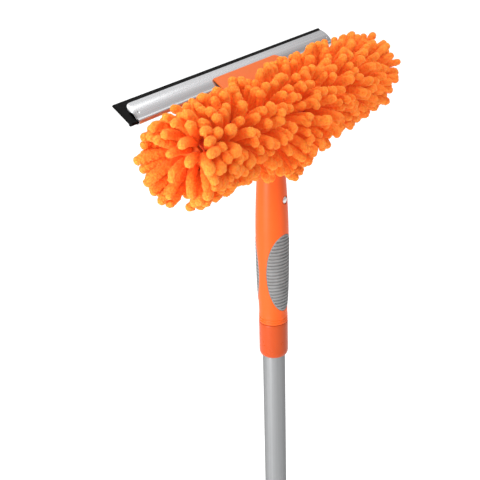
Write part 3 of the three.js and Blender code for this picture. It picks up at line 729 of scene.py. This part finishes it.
# -------------------- squeegee
def make_channel():
    """A folded strip, slightly crowned, with a round spine, rounded lip corners and punch marks."""
    left, right = low("squeegee_channel")[0], high("squeegee_channel")[0]
    middle = CHANNEL_THICK / 2
    fine = np.arange(0, 14, 0.35) * MM
    coarse = np.linspace(left + 14 * MM, right - 14 * MM, 60)
    stations = np.unique(np.concatenate([left + fine, coarse, right - fine]))
    turn_in = math.asin(middle / SPINE_R)
    bend = np.linspace(math.pi - turn_in, turn_in - math.pi, 25)
    flat = np.linspace(0, 1, 44, endpoint=False)
    sides = np.concatenate([flat, np.full(len(bend), 1.0), flat[::-1]])
    heel = SPINE_S - SPINE_R * math.cos(turn_in)
    mouth = np.full(len(stations), CHANNEL_MOUTH)
    for end, radius in ((left, 7 * MM), (right, 1.5 * MM)):
        inside = np.clip(radius - abs(stations - end), 0, radius)
        mouth += radius - np.sqrt(radius ** 2 - inside ** 2)
    s = np.zeros((len(stations), len(sides)))
    n = np.zeros_like(s)
    upper = np.arange(len(sides)) < len(flat)
    lower = np.arange(len(sides)) >= len(flat) + len(bend)
    s[:, upper | lower] = mouth[:, None] + (heel - mouth[:, None]) * sides[upper | lower]
    crown = 1.15 * MM * np.sin(math.pi * sides[upper])
    n[:, upper] = -crown
    n[:, lower] = CHANNEL_THICK + crown[::-1]
    punched = 6.5 * MM
    marks = [(left + punched, 0.4, 0.7), (left + 4.2 * MM, 0.1, 0.9), (right - punched, 0.4, 0.7)]
    for x, depth, width in marks:
        away = (stations[:, None] - x) ** 2 + (s - 14.6 * MM) ** 2
        pit = depth * MM * np.exp(-away / (width * MM) ** 2)
        n += np.where(upper, pit, np.where(lower, -pit, 0))
    spine = slice(len(flat), len(flat) + len(bend))
    skins = []
    for inset in (0, CHANNEL_SHEET):
        skin_s, skin_n = s.copy(), n + np.where(upper, inset, 0) - np.where(lower, inset, 0)
        skin_s[:, spine] = SPINE_S + (SPINE_R - inset) * np.cos(bend)
        skin_n[:, spine] = middle - (SPINE_R - inset) * np.sin(bend)
        skins.append(in_blade(stations[:, None], skin_s, skin_n))
    strip = between_skins("channel_strip", *skins)
    install(smooth(strip, 40), "handle", "channel_aluminium", "squeegee_channel")


def make_rubber():
    """A strip with a square lip and a round bead, in millimetres in the blade's own axes."""
    left, right = low("rubber_blade")[0], high("rubber_blade")[0]
    middle, half, bead = CHANNEL_THICK / MM / 2, 0.8, 1.6
    turn_in = math.asin(half / bead)
    bend = np.linspace(turn_in - math.pi, math.pi - turn_in, 28)
    outline = [(0, middle - half)]
    outline += [(SPINE_S / MM + bead * math.cos(t), middle + bead * math.sin(t)) for t in bend]
    outline += [(0, middle + half)]
    strip = blade_prism("rubber_strip", outline, left, right)
    bevelled(strip, 0.22 * MM, 2, 50)
    install(smooth(strip), "handle", "blade_rubber", "rubber_blade")


# -------------------- mop
STRAND_R = 3.85 * MM
STRAND_NODES = 9
ROOT_COLUMNS, ROOT_ROWS = 40, 13
DROOP_SIDE = math.radians(-128)  # round the roll, the side that hangs lowest towards the front
# how far the pile reaches from the roll's axis, along the head, on its top and on its drooping side
REACH_ALONG = np.array([-176, -160, -140, -110, -60, -45, -10, 12, 24, 75, 140, 165, 176]) * MM
REACH_TOP = np.array([34, 38, 41, 42, 42, 42, 43, 43, 43, 44, 46, 53, 52]) * MM
REACH_LOW = np.array([36, 38, 37, 37, 43, 50, 53, 53, 39, 39, 39, 39, 37]) * MM
# how far down the blade's face the pile leaves it clear, along the head
CLEAR_ALONG = np.array([-150, -110, -80, CLAMP_LEFT / MM - 8, CLAMP_LEFT / MM + 14, 20, 60, 150]) * MM
CLEAR_S = np.array([23, 30, 34, 37, 36, 31, 27, 24]) * MM
# each end face of the roll: rings of strands, as a share of its radius and a count
END_RINGS = [(0.0, 1), (0.45, 6), (0.88, 11)]
END_DROOP = np.array([0, 0, -0.35])


def round_roll(angles):
    """Unit directions out of the roll, at angles measured from +Y towards +Z."""
    return np.stack([0 * angles, np.cos(angles), np.sin(angles)], axis=-1)


def on_blade(points):
    """How far points lie down the blade's face and out of its underside."""
    return (points - LIP) @ S_AXIS, (points - LIP) @ N_AXIS


def in_slots(points):
    """Whether points lie in the spaces kept for the arm and the neck."""
    margin = 1 * MM
    s, n = on_blade(points)
    arm = ((points[:, 0] > CLAMP_LEFT - margin) & (points[:, 0] < CLAMP_RIGHT + margin)
           & (s < 60 * MM) & (n > -3.4 * MM - margin) & (n < 9 * MM + margin))
    neck = (np.hypot(points[:, 0], points[:, 1]) < NECK_R + margin) & (points[:, 2] < MOP_CENTRE[2])
    return arm | neck


def strand_roots(random):
    """Where each strand is sewn on, the way it leaves and the way it leans further out: first those on the
    sleeve in staggered rows, then those on the roll's two end faces."""
    column, row = np.divmod(np.arange(ROOT_COLUMNS * ROOT_ROWS), ROOT_ROWS)
    stray = random.uniform(-1, 1, (2, len(row)))
    spot = 2 * (column + 0.5 + 0.25 * stray[0]) / ROOT_COLUMNS - 1
    x = SLEEVE_END * (1.14 * spot - 0.14 * spot ** 3)
    out = round_roll(2 * math.pi * (row + 0.5 * (column % 2) + 0.22 * stray[1]) / ROOT_ROWS)
    roots = stacked(x, *MOP_CENTRE[1:]) + SLEEVE_R * out
    ends = np.clip((abs(x) / SLEEVE_END - 0.3) / 0.7, 0, 1)
    leans = np.zeros_like(out)
    leans[:, 0] = np.sign(x) * 1.1 * ends ** 2
    ways = out + 0.5 * leans
    for end, ring, share in [(end, ring, spot / count) for end in (-1, 1) for ring, count in END_RINGS
                             for spot in range(count)]:
        out = round_roll(np.array(2 * math.pi * (share + ring) + 0.3 * random.uniform(-1, 1)))
        root = np.array([end * SLEEVE_END, *MOP_CENTRE[1:]]) + SLEEVE_R * ring * out
        way = np.array([end, 0, 0]) + 0.8 * ring * out
        roots, ways = np.vstack([roots, root]), np.vstack([ways, way])
        leans = np.vstack([leans, 0.15 * out + END_DROOP])
    ways += 0.1 * random.normal(size=ways.shape)
    ways /= np.linalg.norm(ways, axis=1)[:, None]
    leans += 0.14 * random.normal(size=leans.shape)
    free = ~in_slots(roots + ways * 3 * MM)
    return roots[free], ways[free], leans[free]


def keep_out(points, radius):
    """Pushes strand points off the sleeve, the arm, the neck, the handle, the channel and the clamp."""
    centre = MOP_CENTRE[1:]
    from_core = points[:, 1:] - centre
    distance = np.linalg.norm(from_core, axis=1)
    inside = (distance < SLEEVE_R + 0.6 * radius) & (abs(points[:, 0]) < SLEEVE_END)
    grown = (SLEEVE_R + 0.6 * radius) / np.maximum(distance, 1e-6)
    points[inside, 1:] = centre + from_core[inside] * grown[inside, None]

    from_pole = np.hypot(points[:, 0], points[:, 1])
    wall = np.where(points[:, 2] < HANDLE_TOP + 2 * MM, 13.8 * MM, NECK_R) + radius
    inside = (from_pole < wall) & (points[:, 2] < MOP_CENTRE[2] - 6 * MM)
    points[inside, :2] *= (wall / np.maximum(from_pole, 1e-6))[inside, None]

    s, n = on_blade(points)
    over_clamp = (points[:, 0] > CLAMP_LEFT - radius) & (points[:, 0] < CLAMP_RIGHT + radius)
    clear = np.interp(points[:, 0], CLEAR_ALONG, CLEAR_S)
    above = (s < clear) & (n < -1 * MM) & (n > -22 * MM)
    points[above] += (clear - s)[above, None] * 0.5 * S_AXIS
    reach = np.where(over_clamp, 64 * MM, SPINE_S + SPINE_R + radius)
    top = np.where(over_clamp, -3.2 * MM, -0.8 * MM) - radius
    bottom = np.where(over_clamp, 9 * MM, CHANNEL_THICK + 0.8 * MM) + radius
    inside = (s < reach) & (n > top) & (n < bottom) & (s > -6 * MM)
    shift = np.where(n < (top + bottom) / 2, top - n, bottom - n)
    slide = reach - s
    sideways = (slide < abs(shift)) & ~over_clamp
    points[inside & ~sideways] += (shift[:, None] * N_AXIS)[inside & ~sideways]
    points[inside & sideways] += (slide[:, None] * S_AXIS)[inside & sideways]


def pile_reach(points):
    """How far the pile reaches from the roll's axis on the side of each point."""
    across, up = (points - MOP_CENTRE)[:, 1:].T
    droop = np.clip(np.cos(np.arctan2(up, across) - DROOP_SIDE), 0, 1) ** 1.5
    top, lowest = (np.interp(points[:, 0], REACH_ALONG, reach) for reach in (REACH_TOP, REACH_LOW))
    return top + droop * (lowest - top)


def pulled_in(points, radius, firmness):
    """Brings points back that reach further from the roll's axis than its pile does."""
    from_core = points[:, 1:] - MOP_CENTRE[1:]
    distance = np.linalg.norm(from_core, axis=1)
    over = np.clip(distance - (pile_reach(points) - radius), 0, None)
    points[:, 1:] -= (firmness * over / np.maximum(distance, 1e-6))[:, None] * from_core
    past_end = np.clip(abs(points[:, 0]) - (MOP_END + 6 * MM - radius), 0, None)
    points[:, 0] -= firmness * np.sign(points[:, 0]) * past_end


def trimmed(roots, ways, leans, lengths):
    """Shortens the strands that would stand against the blade, the clamp or the neck."""
    radii = np.full(len(roots), STRAND_R)
    shorter = lengths.copy()
    for share in np.linspace(1, 0.62, 9):
        ends = roots + (ways + 0.5 * share * leans) * (share * lengths)[:, None]
        moved = ends.copy()
        keep_out(moved, radii)
        touching = np.linalg.norm(moved - ends, axis=1) > 0.5 * MM
        shorter[touching] = share * lengths[touching]
    return shorter


def settle(roots, ways, leans, lengths, firmness):
    """Lets the strands bend, sag and push each other aside until they lie against one another. firmness is
    how strongly each strand is held within the pile's reach."""
    rounds = 80
    sag = 0.11 * MM
    stiff_root, stiff = 0.5, 0.42
    push_share = 0.28
    packed = 0.84  # how close two strands come, as a share of both radii
    count, nodes = len(roots), STRAND_NODES
    step = lengths / (nodes - 1)
    share = np.linspace(0, 1, nodes)
    radius = STRAND_R * np.interp(share, [0, 0.35, 1], [0.55, 0.95, 1.0])
    points = np.repeat(roots[:, None], nodes, axis=1)
    for k in range(1, nodes):
        way = ways + leans * share[k] * 1.1
        way /= np.linalg.norm(way, axis=1)[:, None]
        points[:, k] = points[:, k - 1] + way * step[:, None]
    bends = points[:, 2:] - 2 * points[:, 1:-1] + points[:, :-2]
    strand = np.repeat(np.arange(count), nodes)
    radii = np.tile(radius, count)
    firmness = np.repeat(firmness, nodes)
    for _ in range(rounds):
        points[:, 1:, 2] -= sag * share[1:] ** 2
        first = points[:, 0] + ways * step[:, None]
        points[:, 1] += stiff_root * (first - points[:, 1])
        for k in range(2, nodes):
            straight = 2 * points[:, k - 1] - points[:, k - 2] + bends[:, k - 2]
            points[:, k] += stiff * (straight - points[:, k])
        flat = points.reshape(-1, 3)
        near = (flat - MOP_CENTRE).astype(np.float32)
        square = (near ** 2).sum(1)
        distance = square[:, None] + square[None, :] - 2 * near @ near.T
        a, b = np.nonzero(distance < (1.95 * STRAND_R) ** 2)
        apart = (a < b) & (strand[a] != strand[b])
        a, b = a[apart], b[apart]
        gap = flat[a] - flat[b]
        length = np.maximum(np.linalg.norm(gap, axis=1), 1e-6)
        overlap = np.clip(packed * (radii[a] + radii[b]) - length, 0, None)
        push = (push_share * overlap / length)[:, None] * gap
        total = len(flat)
        flat = flat + np.stack([np.bincount(a, p, total) - np.bincount(b, p, total) for p in push.T], axis=1)
        pulled_in(flat, radii, firmness)
        keep_out(flat, radii)
        points = flat.reshape(count, nodes, 3)
        points[:, 0] = roots
        for k in range(1, nodes):
            along = points[:, k] - points[:, k - 1]
            along /= np.maximum(np.linalg.norm(along, axis=1), 1e-9)[:, None]
            points[:, k] = points[:, k - 1] + along * step[:, None]
    return points


def spline(points, stations):
    """Points along a Catmull-Rom curve through each strand's nodes."""
    first = 2 * points[:, :1] - points[:, 1:2]
    last = 2 * points[:, -1:] - points[:, -2:-1]
    padded = np.concatenate([first, points, last], axis=1)
    place = np.linspace(0, points.shape[1] - 1, stations)
    cell = np.minimum(place.astype(int), points.shape[1] - 2)
    return catmull_rom(*(padded[:, cell + k] for k in range(4)), (place - cell)[None, :, None])


def strand_skin(points, random):
    """A plush skin over each strand: a narrow root, lumps along it, a rough surface and a round tip.
    Returns points shaped (strand, ring, side, 3) and, for each, a value of painted shade and light with a
    random tint per strand."""
    stations, cap_rings, sides, roughness = 27, 4, 16, 0.075
    line = spline(points, stations)
    count = len(line)
    tangent = np.gradient(line, axis=1)
    tangent /= np.linalg.norm(tangent, axis=2)[..., None]
    side = np.cross(tangent[:, 0], [0.3, 0.5, 0.81])
    across = []
    for k in range(stations):
        side = side - (side * tangent[:, k]).sum(1)[:, None] * tangent[:, k]
        side /= np.linalg.norm(side, axis=1)[:, None]
        across.append(side)
    across = np.stack(across, axis=1)
    share = np.linspace(0, 1, stations)
    body = np.interp(share, [0, 0.2, 0.45, 0.8, 1], [0.55, 0.86, 1.0, 1.0, 0.93])
    phase = random.uniform(0, 2 * math.pi, (count, 3, 1))
    lumps = 1 + 0.025 * np.sin(share * 19 + phase[:, 0]) + 0.03 * np.sin(share * 37 + phase[:, 1])
    size = random.normal(1.0, 0.08, (count, 1)).clip(0.84, 1.16)
    radius = STRAND_R * size * body * lumps
    cap = np.linspace(0, math.pi / 2, cap_rings + 1)[1:]
    tip = line[:, -1:] + tangent[:, -1:] * (radius[:, -1:] * 0.95 * np.sin(cap))[..., None]
    line = np.concatenate([line, tip], axis=1)
    radius = np.concatenate([radius, radius[:, -1:] * np.maximum(np.cos(cap), 0.04)], axis=1)
    upright = np.cross(tangent, across)
    across, upright = (np.pad(side, [(0, 0), (0, cap_rings), (0, 0)], "edge") for side in (across, upright))
    turn = np.linspace(0, 2 * math.pi, sides, endpoint=False)[:, None]
    ring = across[:, :, None] * np.cos(turn) + upright[:, :, None] * np.sin(turn)
    rough = 1 + roughness * random.normal(size=(count, line.shape[1], sides)).clip(-2, 2)
    out = line[:, :, None] + ring * (radius[:, :, None] * rough)[..., None]
    depth = np.concatenate([share, np.ones(cap_rings)])
    # Painted shade and light: darker towards the root and where the rough surface sinks, lighter towards the
    # tip and where it bulges; each strand also gets a random tint.
    tone_and_shade = 0.88 * depth[None, :, None] ** 1.1 + random.normal(0, 0.08, (count, 1, 1)) + 1.2 * (rough - 1)
    return out, tone_and_shade.clip(0, 1)


def make_chenille():
    """Every strand of the pile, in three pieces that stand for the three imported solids."""
    random = np.random.default_rng(11)
    roots, ways, leans = strand_roots(random)
    fitting = pile_reach(roots) - SLEEVE_R - STRAND_R
    shortest = 26 * MM + 5 * MM * (roots[:, 0] / SLEEVE_END) ** 4
    lengths = np.maximum(1.12 * fitting, shortest) * random.normal(1.0, 0.08, len(roots)).clip(0.85, 1.2)
    lengths = trimmed(roots, ways, leans, lengths)
    firmness = 0.55 * random.uniform(0.3, 1, len(roots)) ** 1.5
    points = settle(roots, ways, leans, lengths, firmness)
    skin, tone_and_shade = strand_skin(points, random)
    rings, sides = skin.shape[1:3]
    strand = capped_faces(rings, sides)
    x = roots[:, 0]
    made = []
    middle = (x > CLAMP_LEFT) & (x < CLAMP_RIGHT)
    for part, chosen in (("left", x <= CLAMP_LEFT), ("middle", middle), ("right", x >= CLAMP_RIGHT)):
        start = (np.arange(chosen.sum()) * rings * sides)[:, None, None]
        faces = [(faces_of_one + start).reshape(-1, faces_of_one.shape[1]) for faces_of_one in strand]
        piece = mesh_object("chenille_" + part, skin[chosen], *faces)
        attribute = piece.data.attributes.new(TONE_AND_SHADE, "FLOAT", "POINT")
        attribute.data.foreach_set("value", tone_and_shade[chosen].astype(np.float32).ravel())
        piece.data.shade_smooth()
        made.append(install(piece, "handle", "chenille", "mop_pile_" + part))
    return made


def make_backing(pile):
    """The woven sleeve that the strands are sewn to, open where the arm and the neck pass through."""
    thick = 1.2 * MM
    inner = SLEEVE_R - thick
    outline = rectangle(inner, -SLEEVE_END, SLEEVE_R, SLEEVE_END, 0.3 * MM, 3)
    stations = np.linspace(-SLEEVE_END, SLEEVE_END, 40)[1:-1]
    half = len(outline) // 2
    outside = [(SLEEVE_R, z) for z in stations]
    inside = [(inner, z) for z in stations[::-1]]
    outline = np.concatenate([outline[:half], outside, outline[half:], inside])
    sleeve = lathe("mop_sleeve", outline, 96, loop=True)
    sleeve.data.transform(TO_ROLL)
    facing_out(sleeve)
    around_arm = rectangle(5, -4.4, 68, 9.9)
    arm = blade_prism("arm_slot", around_arm, CLAMP_LEFT - 0.8 * MM, CLAMP_RIGHT + 0.8 * MM)
    neck = drum("neck_slot", NECK_R + 0.5 * MM, HANDLE_TOP - 10 * MM, MOP_CENTRE[2] + 8 * MM)
    boolean(sleeve, "DIFFERENCE", arm, neck)
    install(smooth(sleeve, 40), "handle", "mop_cloth", "mop_backing")


# -------------------- everything together
def dress_hidden_nodes():
    """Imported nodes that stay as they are, inside the tubes and the core, get their finish."""
    finish_of = {s["node"]: s["material_slot"] for s in frame["record"]["subparts"]}
    for name, node in frame["nodes"].items():
        if not node.hide_render:
            node.data.materials.clear()
            node.data.materials.append(MATERIALS[finish_of[name]])


def make_object():
    make_handle()
    make_grip("grip_front", "front_grip", GRIP_TURN)
    make_grip("grip_rear", "rear_grip", math.pi + GRIP_TURN)
    make_collar()
    make_button()
    make_tube("pole_upper", "upper_tube", "upper_pole", UPPER_R)
    make_tube("pole_lower", "lower_tube", "lower_pole", LOWER_R)
    make_ferrule()
    make_end_cap()
    make_head_frame()
    make_clamp_cover()
    make_screws()
    make_channel()
    make_rubber()
    make_backing(make_chenille())
    dress_hidden_nodes()


# -------------------- stage, light and camera
SKY_LOW = 0.2
SKY_HIGH = 1.15


def make_floor():
    """A pale floor, low enough to leave room for the pole when both of its slides are fully out."""
    level = -0.19
    corners = [(x, y, level) for x, y in rectangle(-30, -30, 30, 30)]
    floor = mesh_object("floor", corners, [[0, 1, 2, 3]])
    surface = Surface("floor", Roughness=0.9, Emission_Color=(1, 1, 1, 1), Emission_Strength=0.62)
    pale = (0.55, 0.55, 0.55, 1)
    mottle = surface.ramp(surface.noise(6), (0.3, dimmed(pale, 0.964)), (0.7, pale))
    set_inputs(surface.shader, Base_Color=mottle)
    floor.data.materials.append(surface.material)


def make_light(name, place, target, size, power):
    """A softbox turned towards a target."""
    data = bpy.data.lights.new(name, "AREA")
    data.shape = "RECTANGLE"
    data.size, data.size_y = size
    data.energy = power
    light = linked(name, data)
    light.location = place
    light.rotation_mode = "QUATERNION"
    light.rotation_quaternion = (Vector(target) - Vector(place)).to_track_quat("-Z", "Y")


def make_studio():
    """A soft sky that is brightest overhead, a white backdrop, a softbox to the camera's left, and a weaker
    one overhead."""
    world = bpy.data.worlds.new("studio")
    bpy.context.scene.world = world
    world.use_nodes = True
    nodes = world.node_tree.nodes
    direction = nodes.new("ShaderNodeTexCoord").outputs["Generated"]
    split = set_inputs(nodes.new("ShaderNodeSeparateXYZ"), Vector=direction)
    height = set_inputs(
        nodes.new("ShaderNodeMapRange"), Value=split.outputs["Z"],
        From_Min=0.33, From_Max=0.62, To_Min=SKY_LOW, To_Max=SKY_HIGH,
    )
    height.interpolation_type = "SMOOTHSTEP"
    white = (1, 1, 1, 1)
    sky = set_inputs(nodes["Background"], Color=white, Strength=height.outputs["Result"])
    backdrop = set_inputs(nodes.new("ShaderNodeBackground"), Color=white)
    either = nodes.new("ShaderNodeMixShader")
    put(either.inputs[0], nodes.new("ShaderNodeLightPath").outputs["Is Camera Ray"])
    put(either.inputs[1], sky.outputs[0])
    put(either.inputs[2], backdrop.outputs[0])
    set_inputs(nodes["World Output"], Surface=either.outputs[0])
    make_light("key", (-2.58, 0.45, 1.0), (0, 0, 0.65), (0.9, 1.9), 86)
    make_light("top", (0.5, -0.3, 2.4), (0, 0, 0.7), (1.6, 1.6), 13)
    bpy.context.scene.view_settings.view_transform = "Standard"


def make_camera():
    """The camera stands left of the handle and above the head, and looks down at it."""
    AZIMUTH, PITCH, ROLL = math.radians(-58.43), math.radians(22.56), math.radians(-1.67)
    PLACE = (-0.7318, -0.4140, SEAM_Z + 0.4341)
    data = bpy.data.cameras.new("camera")
    data.sensor_width = 36
    data.lens = 72.26
    camera = linked("camera", data)
    camera.matrix_world = (
        Matrix.Translation(PLACE) @ Matrix.Rotation(AZIMUTH, 4, "Z")
        @ Matrix.Rotation(math.pi / 2 - PITCH, 4, "X") @ Matrix.Rotation(ROLL, 4, "Z")
    )
    bpy.context.scene.camera = camera


make_object()
make_floor()
make_studio()
make_camera()
